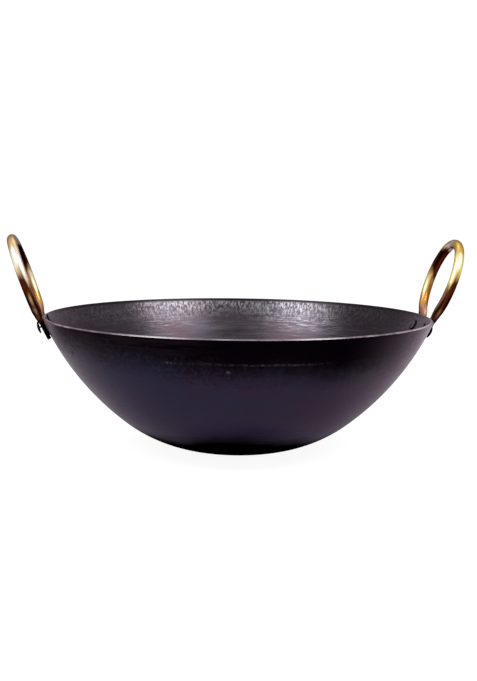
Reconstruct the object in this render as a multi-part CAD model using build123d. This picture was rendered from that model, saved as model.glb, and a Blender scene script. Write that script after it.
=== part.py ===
from build123d import *
import math
import os

# A round-bottomed sheet iron kadai with two ring handles, in millimetres.
# The origin is the centre of the flat resting face, +X runs through the handles and +Z is up.

# Bowl, spun from one sheet: a wall arc above a tighter belly arc, and a small flat to rest on
rim_radius = 150.0          # outer corner of the rim
rim_height = 101.8          # outer corner of the rim above the resting face
belly_radius = 87.0         # where the wall arc runs into the belly arc
belly_height = 22.2
belly_lean = 52.6           # degrees from upright at that place
flat_radius = 31.0          # resting face
knuckle_radius = 20.0       # soft bend between the resting face and the belly
sheet = 2.3
rim_corner_radius = 0.5     # corners of the cut edge, worn round

# Ring handle, bent from round bar
bar_diameter = 7.3
ring_half_width = 30.8      # middle of the ring to the centre of the bar at the widest place
ring_widest_height = 28.9   # widest place above the rim, measured up the ring
ring_lean = 20.0            # degrees that the ring leans out from upright
ring_stand_out = 0.5        # the ring's own plane, outside the rim at rim level
right_ring_height = 60.8    # centre of the bar at the crown above the rim, up the ring
left_ring_height = 62.6

# Lugs, the flattened ends of the bar, which lie on the outside of the wall
lug_half_spacing = 14.5     # middle of the handle to the middle of a lug
lug_width = 12.0
lug_thickness = 3.0
lug_length = 16.0           # from the rim down the wall to the tip
lug_tip_radius = 5.2        # corners of the tongue
lug_top = 1.6               # the lug's hidden round top above the rim, inside the neck
neck_half_spacing = 23.6    # middle of the handle to the bar where it starts to flatten
neck_height = 8.5           # that place above the rim, up the ring
neck_depth = 3.2            # where it is flat, below the rim
neck_taper_share = 0.92     # thickness of the neck's end, as a share of the lug's
neck_stations = 4           # sections of the neck after the round one

# Rivets, one through each lug and the wall
right_rivet_drop = 10.0     # centre below the rim, down the wall
left_rivet_drop = 5.2
shank_diameter = 5.0
outer_head_diameter = 9.2
outer_head_height = 2.3
inner_head_diameter = 9.0
inner_head_height = 1.3
head_edge_share = 0.3       # upright edge of a head, as a share of its height

# Fits
seat_clearance = 0.15       # lug on wall, and rivet head on lug or wall
hole_clearance = 0.1        # all round a shank in its holes
overrun = 2.0               # how far a cutter reaches past what it cuts


def polar(angle):
    """Unit vector in the profile plane, leaning out from upright by an angle in degrees."""
    return Vector(math.sin(math.radians(angle)), math.cos(math.radians(angle)))


def outward(tangent):
    """Normal on the outside of a wall whose tangent points up and out."""
    return Vector(tangent.Y, -tangent.X)


def wall_arc(grow):
    """Wall face in the profile plane (x is the radius, y the height), moved out by grow."""
    belly = Vector(belly_radius, belly_height)
    rim = Vector(rim_radius, rim_height)
    nominal = TangentArc(belly, rim, tangent=polar(belly_lean))
    start = belly + outward(polar(belly_lean)) * grow
    end = rim + outward(nominal % 1) * grow
    return TangentArc(start, end, tangent=polar(belly_lean))


def belly_arc(grow, floor):
    """Belly face, moved out by grow, from the wall arc down to the height of the floor."""
    belly = Vector(belly_radius, belly_height)
    nominal = TangentArc(belly, Vector(flat_radius, 0), tangent=-polar(belly_lean))
    centre = nominal.arc_center
    radius = nominal.radius + grow
    start = belly + outward(polar(belly_lean)) * grow
    reach = math.sqrt(radius**2 - (centre.Y - floor) ** 2)
    return TangentArc(start, Vector(centre.X + reach, floor), tangent=-polar(belly_lean))


def wall_station(drop):
    """Point of the outer wall face at a distance down the wall from the rim, and its tangent."""
    arc = wall_arc(0)
    share = 1 - drop / arc.length
    return arc @ share, arc % share


def bowl_profile():
    """Half section of the bowl: one sheet thick all along, cut square at the rim."""
    outer_wall = wall_arc(0)
    outer_belly = belly_arc(0, 0)
    inner_wall = wall_arc(-sheet)
    inner_belly = belly_arc(-sheet, sheet)
    outer_flat = Line(outer_belly @ 1, (0, 0))
    centre = Line((0, 0), (0, sheet))
    inner_flat = Line((0, sheet), inner_belly @ 1)
    edge = Line(outer_wall @ 1, inner_wall @ 1)
    face = make_face([outer_wall, outer_belly, outer_flat, centre, inner_flat, inner_belly, inner_wall, edge])
    bends = [
        (outer_belly @ 1, knuckle_radius),
        (inner_belly @ 1, knuckle_radius - sheet),
        (outer_wall @ 1, rim_corner_radius),
        (inner_wall @ 1, rim_corner_radius),
    ]
    for corner, radius in bends:
        vertex = face.vertices().sort_by_distance(tuple(corner))[0]
        face = fillet(vertex, radius)
    return face


def bowl_blank():
    """The spun bowl before its rivet holes."""
    return revolve(Plane.XZ * bowl_profile(), Axis.Z)


def wall_envelope():
    """All that lies within the outer wall face and just over the rim, with the seat clearance."""
    face_arc = wall_arc(seat_clearance)
    along = wall_arc(0) % 1
    outer_rim = (face_arc @ 1) + along * seat_clearance
    inner_rim = (wall_arc(-sheet) @ 1) + along * seat_clearance
    low = face_arc @ 0
    outline = [
        face_arc,
        Line(face_arc @ 1, outer_rim),
        Line(outer_rim, inner_rim),
        Line(inner_rim, (0, inner_rim.Y)),
        Line((0, inner_rim.Y), (0, low.Y)),
        Line((0, low.Y), low),
    ]
    return revolve(Plane.XZ * make_face(outline), Axis.Z)


def wall_frame(azimuth, drop, stand_off):
    """Plane on the outer wall at a drop from the rim: x along the rim, y up the wall, z outward."""
    point, tangent = wall_station(drop)
    normal = outward(tangent)
    point = point + normal * stand_off
    turn = math.radians(azimuth)
    radial = Vector(math.cos(turn), math.sin(turn), 0)
    around = Vector(-math.sin(turn), math.cos(turn), 0)
    origin = radial * point.X + Vector(0, 0, point.Y)
    facing = radial * normal.X + Vector(0, 0, normal.Y)
    return Plane(origin=origin, x_dir=around, z_dir=facing)


def lug_azimuth(end):
    """Azimuth of a lug on the right handle: end is -1 for the front lug and 1 for the rear one."""
    return end * math.degrees(math.asin(lug_half_spacing / rim_radius))


def ring_plane():
    """Plane of the right ring: x along the rim, y up the ring."""
    lean = math.radians(ring_lean)
    origin = (rim_radius + ring_stand_out, 0, rim_height)
    return Plane(origin=origin, x_dir=(0, 1, 0), z_dir=(math.cos(lean), 0, -math.sin(lean)))


def ring_path(ring_height):
    """Centre line of the round bar from one neck over the crown to the other."""
    widest = Vector(ring_half_width, ring_widest_height)
    crown = TangentArc((0, ring_height), widest, tangent=(1, 0))
    side = TangentArc(widest, (neck_half_spacing, neck_height), tangent=crown % 1)
    half = [crown.edge(), side.edge()]
    return ring_plane() * Wire(half + [edge.mirror(Plane.YZ) for edge in half])


def neck(start, direction, azimuth):
    """The bar flattening from its round section at start into the lug below the rim."""
    seat = wall_frame(azimuth, neck_depth, seat_clearance + lug_thickness / 2)
    spine = Spline(start, seat.origin, tangents=(direction, -seat.y_dir))
    round_radius = bar_diameter / 2
    flat_half_width = lug_width / 2 * neck_taper_share
    flat_half_thickness = lug_thickness / 2 * neck_taper_share
    sections = []
    for station in range(neck_stations + 1):
        share = station / neck_stations
        blend = share**2 * (3 - 2 * share)
        half_width = round_radius + blend * (flat_half_width - round_radius)
        half_thickness = round_radius + blend * (flat_half_thickness - round_radius)
        across = Vector(0, 1, 0) * (1 - blend) + seat.x_dir * blend
        place = Plane(origin=spine @ share, x_dir=across, z_dir=spine % share)
        sections.append(place * Ellipse(half_width, half_thickness))
    return loft(sections)


def lug(azimuth):
    """Flat tongue with round ends, bent to lie along the outside of the wall."""
    inner = wall_arc(seat_clearance)
    outer = wall_arc(seat_clearance + lug_thickness)
    rise = (wall_arc(0) % 1) * (lug_top + overrun)
    inner_top = (inner @ 1) + rise
    outer_top = (outer @ 1) + rise
    length = lug_length + lug_top
    outline = [
        inner,
        Line(inner @ 1, inner_top),
        Line(inner_top, outer_top),
        Line(outer_top, outer @ 1),
        outer,
        Line(outer @ 0, inner @ 0),
    ]
    spread = 2 * math.degrees(math.asin((lug_width + 2 * overrun) / rim_radius))
    band = revolve(Plane.XZ * make_face(outline), Axis.Z, spread).rotate(Axis.Z, azimuth - spread / 2)
    middle = wall_frame(azimuth, lug_length - length / 2, 0)
    face = middle * RectangleRounded(lug_width, length, lug_tip_radius)
    tongue = extrude(face, lug_thickness + 2 * overrun, both=True)
    return band & tongue


def rivet_hole(azimuth, drop):
    """Cutter for the hole through a lug and the wall behind it."""
    depth = sheet + lug_thickness + 2 * overrun
    place = wall_frame(azimuth, drop, lug_thickness / 2 - sheet / 2)
    return place * Cylinder(shank_diameter / 2 + hole_clearance, depth)


def head_seat(azimuth, drop):
    """Cutter that flattens what swells over the lug's outer face where the head is hammered down."""
    depth = outer_head_height + overrun
    place = wall_frame(azimuth, drop, seat_clearance + lug_thickness + depth / 2)
    return place * Cylinder(outer_head_diameter / 2 + hole_clearance, depth)


def rivet(azimuth, drop):
    """Domed head outside, shank through lug and wall, flatter head closed up inside the bowl."""
    outer_seat = lug_thickness + 2 * seat_clearance
    inner_seat = -sheet - 2 * seat_clearance
    outer_edge = outer_seat + outer_head_height * head_edge_share
    inner_edge = inner_seat - inner_head_height * head_edge_share
    outer_radius = outer_head_diameter / 2
    inner_radius = inner_head_diameter / 2
    shank_radius = shank_diameter / 2
    crown = Vector(0, outer_seat + outer_head_height)
    foot = Vector(0, inner_seat - inner_head_height)
    outline = [
        TangentArc(crown, (outer_radius, outer_edge), tangent=(1, 0)),
        Polyline(
            (outer_radius, outer_edge),
            (outer_radius, outer_seat),
            (shank_radius, outer_seat),
            (shank_radius, inner_seat),
            (inner_radius, inner_seat),
            (inner_radius, inner_edge),
        ),
        TangentArc(foot, (inner_radius, inner_edge), tangent=(1, 0)),
        Line(foot, crown),
    ]
    turned = revolve(Plane.XZ * make_face(outline), Axis.Z)
    return wall_frame(azimuth, drop, 0) * turned


def handle(ring_height, rivet_drop, envelope):
    """Right handle: the ring, two necks and two lugs forged from one bar."""
    path = ring_path(ring_height)
    section = Plane(origin=path @ 0, z_dir=path % 0) * Circle(bar_diameter / 2)
    body = sweep(section, path)
    for start, direction in ((path @ 0, -(path % 0)), (path @ 1, path % 1)):
        azimuth = lug_azimuth(math.copysign(1, start.Y))
        body = body + neck(start, direction, azimuth) + lug(azimuth)
    body = body - envelope
    for end in (-1, 1):
        azimuth = lug_azimuth(end)
        body = body - rivet_hole(azimuth, rivet_drop) - head_seat(azimuth, rivet_drop)
    return body


def build():
    """Every piece of the kadai by node name."""
    envelope = wall_envelope()
    bowl = bowl_blank()
    nodes = {}
    sides = (
        ("right", 0, right_ring_height, right_rivet_drop),
        ("left", 180, left_ring_height, left_rivet_drop),
    )
    for side, turn, ring_height, rivet_drop in sides:
        nodes[side + "_handle"] = handle(ring_height, rivet_drop, envelope).rotate(Axis.Z, turn)
        for row, end in (("front", -1), ("rear", 1)):
            azimuth = turn + lug_azimuth(end if side == "right" else -end)
            nodes[side + "_" + row + "_rivet"] = rivet(azimuth, rivet_drop)
            bowl = bowl - rivet_hole(azimuth, rivet_drop)
    nodes["bowl"] = bowl
    return nodes


os.makedirs("parts", exist_ok=True)
for name, piece in build().items():
    export_step(piece, "parts/" + name + ".step")
    print(name, "solids", len(piece.solids()), "volume", round(piece.volume), "mm3")
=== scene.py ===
"""Looks of the kadai: a seasoned iron bowl, two brass ring handles and the rivets that hold them."""

import logging
import math
from dataclasses import dataclass, field
from enum import Enum
from typing import Any, Callable, Iterable

import bmesh
import bpy
from mathutils import Matrix, Vector, noise


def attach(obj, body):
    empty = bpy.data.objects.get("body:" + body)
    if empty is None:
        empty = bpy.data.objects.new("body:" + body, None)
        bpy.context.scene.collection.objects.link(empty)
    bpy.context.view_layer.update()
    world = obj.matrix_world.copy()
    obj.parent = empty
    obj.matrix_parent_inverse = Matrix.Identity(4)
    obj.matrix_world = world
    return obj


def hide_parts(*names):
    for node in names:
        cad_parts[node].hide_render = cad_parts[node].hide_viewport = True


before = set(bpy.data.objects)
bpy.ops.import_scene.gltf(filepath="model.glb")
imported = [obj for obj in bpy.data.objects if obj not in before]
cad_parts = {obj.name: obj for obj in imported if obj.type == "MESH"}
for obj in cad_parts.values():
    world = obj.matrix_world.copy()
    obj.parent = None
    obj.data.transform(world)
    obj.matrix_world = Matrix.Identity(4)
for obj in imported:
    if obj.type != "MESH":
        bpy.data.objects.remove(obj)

LOG = logging.getLogger("kadai")
MM = 0.001
ROOT_BODY = "root"
STRAIGHT_BAR = "straight_bar"
HEAD_SPREAD = "head_spread"
ORIGIN = Vector((0, 0, 0))
UP = Vector((0, 0, 1))
MERGE_GAP = 0.001 * MM

Mesh = bmesh.types.BMesh
Colour = tuple[float, float, float, float]
Shares = tuple[float, ...]


class Slot(Enum):
    """Material slots of the record."""

    IRON = "seasoned_iron"
    BRASS = "brass"
    RIVET = "rivet_iron"


class Side(Enum):
    """Which end of the X axis a handle stands at: its sign."""

    LEFT = -1
    RIGHT = 1


class Row(Enum):
    """Which lug of a handle a rivet holds: the sign of its Y."""

    FRONT = -1
    REAR = 1


class Region(Enum):
    """Material index of each region of the bowl."""

    OUTSIDE = 0
    INSIDE = 1
    EDGE = 2


class Head(Enum):
    """Material index of each head of a rivet."""

    OUTER = 0
    INNER = 1


def rgb(red: float, green: float, blue: float) -> Colour:
    """An opaque colour in linear light."""
    return (red, green, blue, 1.0)


class Signal:
    """A number in a shader, on which Python expressions add Math nodes."""

    def __init__(self, bench: "Bench", socket: bpy.types.NodeSocket) -> None:
        """Wraps an output socket of a bench's tree."""
        self.bench = bench
        self.socket = socket

    def _math(self, operation: str, *values: Any) -> "Signal":
        """Adds one Math node: Blender's name of the operation, and its numbers or Signals."""
        return self.bench.add("ShaderNodeMath", {"operation": operation}, dict(enumerate(values)))

    def __add__(self, other: Any) -> "Signal":
        """Sum."""
        return self._math("ADD", self, other)

    def __sub__(self, other: Any) -> "Signal":
        """Difference."""
        return self._math("SUBTRACT", self, other)

    def __rsub__(self, other: Any) -> "Signal":
        """Difference with a number on the left."""
        return self._math("SUBTRACT", other, self)

    def __mul__(self, other: Any) -> "Signal":
        """Product."""
        return self._math("MULTIPLY", self, other)

    def __truediv__(self, other: Any) -> "Signal":
        """Quotient."""
        return self._math("DIVIDE", self, other)

    def __pow__(self, other: Any) -> "Signal":
        """Power."""
        return self._math("POWER", self, other)

    __radd__ = __add__
    __rmul__ = __mul__

    def magnitude(self) -> "Signal":
        """Absolute value."""
        return self._math("ABSOLUTE", self)

    def at_most(self, limit: float) -> "Signal":
        """The value, or the limit where that is less."""
        return self._math("MINIMUM", self, limit)

    def swing(self, reach: float) -> "Signal":
        """A noise as a swing to either side, half the reach each way."""
        return (self - 0.5) * reach


@dataclass(frozen=True)
class Rise:
    """A smooth rise from nothing at start to a strength at end; start may be the larger."""

    start: float
    end: float
    strength: float = 1.0

    def of(self, signal: Signal) -> Signal:
        """Its value at a signal, from 0 to the strength.

        Args:
            signal: what it rises over.

        Returns:
            The value.
        """
        rising = self.start < self.end
        low, high = sorted((self.start, self.end))
        values = {"Value": signal, "From Min": low, "From Max": high,
                  "To Min": 0.0 if rising else self.strength, "To Max": self.strength if rising else 0.0}
        settings = {"interpolation_type": "SMOOTHSTEP", "clamp": True}
        return signal.bench.add("ShaderNodeMapRange", settings, values)


@dataclass(frozen=True)
class Bump:
    """A smooth bump: a strength at its middle, and nothing from its reach away."""

    middle: float
    reach: float
    strength: float = 1.0

    def of(self, signal: Signal) -> Signal:
        """Its value at a signal, from 0 to the strength."""
        return Rise(self.reach, 0.0, self.strength).of((signal - self.middle).magnitude())


@dataclass(frozen=True)
class Pattern:
    """A noise pattern: its turns per metre, its octaves and the strength of each against the last."""

    scale: float
    octaves: float = 3.0
    rough: float = 0.55


class Bench:
    """The node tree of one material or world, to which nodes are added by type, settings and values."""

    def __init__(self, tree: bpy.types.NodeTree) -> None:
        """Empties the tree."""
        self.tree = tree
        tree.nodes.clear()

    def add(self, kind: str, settings: dict[str, Any], values: dict[Any, Any],
            output: int | str = 0) -> Signal:
        """Adds one node.

        Args:
            kind: the node's type.
            settings: its own settings.
            values: numbers, colours, vectors or Signals for its sockets, by name or number.
            output: the output socket that is returned.

        Returns:
            The chosen output, or the first input of a node that has none.
        """
        node = self.tree.nodes.new(kind)
        for name, value in settings.items():
            setattr(node, name, value)
        for name, value in values.items():
            if isinstance(value, Signal):
                self.tree.links.new(value.socket, node.inputs[name])
            else:
                node.inputs[name].default_value = value
        sockets = node.outputs or node.inputs
        return Signal(self, sockets[output])

    def place(self) -> Signal:
        """Object coordinates, in metres."""
        return self.add("ShaderNodeTexCoord", {}, {}, "Object")

    def attribute(self, name: str, output: str) -> Signal:
        """A value that the mesh keeps at each vertex."""
        return self.add("ShaderNodeAttribute", {"attribute_name": name}, {}, output)

    def parts(self, vector: Signal) -> tuple[Signal, ...]:
        """The x, y and z of a vector."""
        node = self.add("ShaderNodeSeparateXYZ", {}, {0: vector}).socket.node
        return tuple(Signal(self, output) for output in node.outputs)

    def vector(self, x: Any, y: Any, z: Any) -> Signal:
        """A vector from three numbers or Signals."""
        return self.add("ShaderNodeCombineXYZ", {}, {0: x, 1: y, 2: z})

    def noises(self, vector: Signal, *patterns: Pattern) -> list[Signal]:
        """Noises from 0 to 1.

        Args:
            vector: where to read them.
            patterns: the pattern of each.

        Returns:
            A noise for each pattern.
        """
        found = []
        for pattern in patterns:
            values = {"Vector": vector, "Scale": pattern.scale, "Detail": pattern.octaves,
                      "Roughness": pattern.rough}
            found.append(self.add("ShaderNodeTexNoise", {"noise_dimensions": "3D"}, values))
        return found

    def coats(self, body: Any, *coats: tuple[Any, Any]) -> Signal:
        """Lays colours over one another.

        Args:
            body: the colour underneath.
            coats: how much of each coat lies on the last, from 0 to 1, and its colour.

        Returns:
            The colour on top.
        """
        settings = {"data_type": "RGBA", "blend_type": "MIX", "clamp_factor": True}
        for share, colour in coats:
            body = self.add("ShaderNodeMix", settings, {"Factor": share, 6: body, 7: colour}, 2)
        return body

    def surface(self, values: dict[str, Any]) -> None:
        """Ends a material in one shader with these values."""
        shader = self.add("ShaderNodeBsdfPrincipled", {}, {"Specular IOR Level": 0.0, **values})
        self.add("ShaderNodeOutputMaterial", {}, {"Surface": shader})


def swung(base: Any, reaches: Shares, *noises: Signal) -> Signal:
    """A value, swung to either side by noises, each with its own reach."""
    return sum((one.swing(reach) for one, reach in zip(noises, reaches)), base)


def weighed(shares: Shares, *signals: Signal) -> Signal:
    """Sum of signals, each by its share."""
    first, *others = [signal * share for signal, share in zip(signals, shares)]
    return sum(others, first)


def turned_coordinates(bench: Bench, stretch: float = 12.0) -> tuple[Signal, Signal, Signal]:
    """Reads the place on a turned sheet.

    Args:
        bench: the material's nodes.
        stretch: how much longer a turning mark is round the axis than across.

    Returns:
        The height above the resting face, a vector for marks that run round the bowl,
        and the plain place.
    """
    place = bench.place()
    x, y, z = bench.parts(place)
    radius = (x * x + y * y) ** 0.5
    return z, bench.vector(x / stretch, y / stretch, z + radius), place


def new_material(name: str) -> bpy.types.Material:
    """A new material with a node tree.

    Args:
        name: its name.

    Returns:
        The material.
    """
    material = bpy.data.materials.new(name)
    material.use_nodes = True
    return material


@dataclass(frozen=True, kw_only=True)
class Finish:
    """A metal finish: one shader, on which each kind paints its own colour, roughness and relief."""

    name: str
    roughness: float
    edge_tint: Colour
    bump: float
    metal: float = 1.0
    relief_depth: float = 0.12 * MM

    def paint(self, bench: Bench) -> tuple[Signal, Signal, Signal, Any]:
        """Paints the surface.

        Args:
            bench: the material's nodes.

        Returns:
            Its colour, roughness, relief from 0 to 1, and how metallic it is.
        """
        raise NotImplementedError

    def make(self) -> bpy.types.Material:
        """Builds the material.

        Returns:
            The material, painted.
        """
        material = new_material(self.name)
        bench = Bench(material.node_tree)
        body, rough, relief, metal = self.paint(bench)
        values = {"Strength": self.bump, "Distance": self.relief_depth, "Height": relief}
        bench.surface({"Base Color": body, "Roughness": rough, "Metallic": metal,
                       "Specular Tint": self.edge_tint, "Normal": bench.add("ShaderNodeBump", {}, values)})
        return material


@dataclass(frozen=True, kw_only=True)
class OutsideFinish(Finish):
    """Oiled and blackened iron: a black band of painted dark reflection under the rim, violet below it,
    painted shade at the foot.

    It leans to blue on the left, where the band shows its turning lines, and to mauve on the
    right, where the wall is rubbed by the handle.
    """

    name: str = "iron_outside"
    roughness: float = 0.36
    edge_tint: Colour = rgb(0.80, 0.71, 0.79)
    bump: float = 0.30
    metal: float = 0.96
    blue: Colour = rgb(0.0170, 0.0172, 0.036)
    plum: Colour = rgb(0.023, 0.0142, 0.030)
    black: Colour = rgb(0.0012, 0.0004, 0.0012)
    lined: Colour = rgb(0.011, 0.0055, 0.010)
    rubbed: Colour = rgb(0.066, 0.044, 0.061)
    bare: Colour = rgb(0.22, 0.175, 0.20)
    scuff: Colour = rgb(0.075, 0.062, 0.075)
    grey: Colour = rgb(0.008, 0.014, 0.016)
    film: Colour = rgb(0.023, 0.023, 0.025)
    navy: Colour = rgb(0.0065, 0.0050, 0.027)
    drift: Pattern = Pattern(9.0, 2.0)
    cloud: Pattern = Pattern(22.0)
    patches: Pattern = Pattern(75.0)
    mottle: Pattern = Pattern(260.0, 4.0, 0.65)
    grain: Pattern = Pattern(620.0, 4.0, 0.6)
    strokes: Pattern = Pattern(520.0)
    stroke_squash: float = 0.15
    rings: Pattern = Pattern(330.0, rough=0.6)
    lines: Pattern = Pattern(900.0, 4.0, 0.6)
    hue_across: Rise = Rise(-90 * MM, 90 * MM)
    hue_swings: Shares = (230 * MM, 270 * MM, 90 * MM)
    hang_across: Bump = Bump(-24 * MM, 46 * MM)
    hang_up: Rise = Rise(50 * MM, 68 * MM)
    hang_hue: float = 70 * MM
    hang_drop: float = 5 * MM
    front: Rise = Rise(0.0, -20 * MM)
    grey_across: Rise = Rise(-85 * MM, -130 * MM)
    # Painted dark reflection under the rim, by height.
    band_up: Rise = Rise(64 * MM, 92 * MM)
    tilt: float = 0.07
    edge_swings: Shares = (12 * MM, 8 * MM)
    mottle_swing: float = 14 * MM
    mottle_up: Rise = Rise(27 * MM, 64 * MM)
    stroke_swing: float = 26 * MM
    stroke_across: Rise = Rise(30 * MM, -60 * MM)
    stroke_front: Rise = Rise(0.0, -40 * MM)
    sole_swings: Shares = (10 * MM, 6 * MM)
    sole_drop: Bump = Bump(-5 * MM, 55 * MM, 6.5 * MM)
    # Painted shade at the foot, darkest at the bottom.
    foot_shade_down: Rise = Rise(27 * MM, 11 * MM)
    navy_down: Rise = Rise(36 * MM, 22 * MM)
    film_across: Bump = Bump(84 * MM, 34 * MM)
    film_up: Bump = Bump(71 * MM, 17 * MM)
    film_patches: Rise = Rise(0.34, 0.54, 0.7)
    lined_across: Rise = Rise(-20 * MM, -70 * MM)
    lined_rings: Rise = Rise(0.38, 0.66)
    fleck_grain: Rise = Rise(0.62, 0.78)
    fleck_lines: Rise = Rise(0.45, 0.7, 0.20)
    fleck_strokes: Rise = Rise(0.54, 0.74)
    fleck_up: Rise = Rise(58 * MM, 74 * MM, 0.16)
    rub_across: Rise = Rise(97 * MM, 124 * MM)
    rub_up: Rise = Rise(40 * MM, 75 * MM)
    rub_front: Rise = Rise(-8 * MM, -42 * MM)
    rub_patches: Rise = Rise(0.36, 0.60, 0.40)
    rub_mottle: Rise = Rise(0.42, 0.58, 0.35)
    rub_least: float = 0.40
    rub_rings: Rise = Rise(0.44, 0.58)
    rub_rings_up: Rise = Rise(80 * MM, 92 * MM, 0.50)
    bare_right: Rise = Rise(119 * MM, 136 * MM)
    bare_left: Rise = Rise(-136.5 * MM, -147 * MM)
    bare_up: Rise = Rise(70 * MM, 96 * MM, 0.8)
    rough_swings: Shares = (0.16, 0.14, 0.10)
    relief_shares: Shares = (0.5, 0.3, 0.3)
    deep_across: Bump = Bump(54 * MM, 46 * MM)
    deep_dull: float = 0.74
    deep_least: float = 0.10
    lined_dull: float = 0.44
    lined_least: float = 0.08
    low_dull: Rise = Rise(70 * MM, 25 * MM, 0.28)
    dark_left: Bump = Bump(-128 * MM, 15 * MM, 0.22)
    scuff_front: Rise = Rise(0.0, -60 * MM)
    scuff_swing: float = 2.5 * MM
    scuff_row: Bump = Bump(84.5 * MM, 1.3 * MM)
    scuff_across: Bump = Bump(8 * MM, 95 * MM, 0.48)
    scuff_end: Bump = Bump(-61 * MM, 5 * MM, 0.9)
    scuff_least: float = 0.08
    dots: Pattern = Pattern(520.0, rough=0.7)
    dots_shown: Rise = Rise(0.44, 0.62, 0.92)
    spans: Pattern = Pattern(17.0, 2.0)
    spans_shown: Rise = Rise(0.36, 0.50)
    spot_up: Bump = Bump(79 * MM, 1.8 * MM)
    spot_across: Bump = Bump(-22 * MM, 2.4 * MM, 0.55)

    def paint(self, bench: Bench) -> tuple[Signal, Signal, Signal, Any]:
        """Paints the hues, the band's painted dark reflection, the foot's painted shade and the wear.

        Args:
            bench: the material's nodes.

        Returns:
            Its colour, roughness, relief, and how metallic it is.
        """
        height, around, place = turned_coordinates(bench)
        x, y, _ = bench.parts(place)
        patterns = (self.drift, self.cloud, self.patches, self.mottle, self.grain)
        drift, cloud, patches, mottle, grain = bench.noises(place, *patterns)
        rings, lines = bench.noises(around, self.rings, self.lines)
        strokes, = bench.noises(bench.vector(x, y, height * self.stroke_squash), self.strokes)
        hang = self.hang_across.of(x) * self.hang_up.of(height)
        hue = swung(x, self.hue_swings, cloud, patches, mottle) + hang * self.hang_hue
        edge = swung(height + x * self.tilt, self.edge_swings, cloud, rings) + hang * self.hang_drop
        edge = edge + mottle.swing(self.mottle_swing) * self.mottle_up.of(height)
        edge = edge + strokes.swing(self.stroke_swing) * self.stroke_across.of(x) * self.stroke_front.of(y)
        sole = swung(height, self.sole_swings, cloud, rings) - self.sole_drop.of(x)
        # band is a painted dark reflection under the rim; the foot share is painted shade at the foot.
        band, foot = self.band_up.of(edge), self.foot_shade_down.of(sole)
        front, left = self.front.of(y), self.lined_across.of(x)
        flecks = self.fleck_grain.of(grain) * self.fleck_lines.of(lines)
        flecks = flecks + self.fleck_strokes.of(strokes) * left * self.fleck_up.of(height)
        film = self.film_across.of(x) * self.film_up.of(height) * front * self.film_patches.of(patches)
        rub = self.rub_across.of(x) * self.rub_up.of(edge) * self.rub_front.of(y)
        rub = rub * (self.rub_patches.of(patches) + self.rub_mottle.of(mottle) + self.rub_least)
        rub = rub * (1.0 - self.rub_rings.of(rings) * self.rub_rings_up.of(height))
        by_handle = (self.bare_right.of(x) + self.bare_left.of(x)) * self.bare_up.of(height)
        body = bench.coats(self.blue,
                           (self.hue_across.of(hue), self.plum),
                           (self.grey_across.of(x) * front, self.grey),
                           (flecks, self.scuff),
                           (self.navy_down.of(sole), self.navy),
                           # Black over the band's painted dark reflection and the foot's painted shade.
                           ((band + foot).at_most(1.0), self.black),
                           (film, self.film),
                           (band * left * self.lined_rings.of(rings), self.lined),
                           (rub, self.rubbed),
                           (by_handle, self.bare),
                           (self._scuffs(bench, place, cloud), self.scuff))
        # Less metal darkens: it deepens the band's painted dark reflection and darkens the lower wall; the
        # foot's painted shade takes all metal away.
        deep = self.deep_across.of(x) * (band * self.deep_dull + self.deep_least) * (1.0 - left)
        dulled = left * (band * self.lined_dull + self.lined_least) + deep + self.low_dull.of(height)
        metal = (1.0 - foot) * (self.metal - (dulled + self.dark_left.of(x) * band))
        rough = swung(self.roughness, self.rough_swings, grain, lines, drift)
        return body, rough, weighed(self.relief_shares, lines, rings, grain), metal

    def _scuffs(self, bench: Bench, place: Signal, cloud: Signal) -> Signal:
        """A row of faint scuffs round the wall, where bowls rub when they are stacked.

        Args:
            bench: the material's nodes.
            place: the place on the surface.
            cloud: broad noise, which moves the row up and down.

        Returns:
            A share from 0 to 1.
        """
        x, y, height = bench.parts(place)
        moved = height + cloud.swing(self.scuff_swing)
        dots, spans = bench.noises(place, self.dots, self.spans)
        share = self.spans_shown.of(spans) * self.scuff_across.of(x) + self.scuff_end.of(x)
        row = self.scuff_row.of(moved) * (self.dots_shown.of(dots) + self.scuff_least) * share
        return (row + self.spot_up.of(moved) * self.spot_across.of(x)) * self.scuff_front.of(y)


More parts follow.
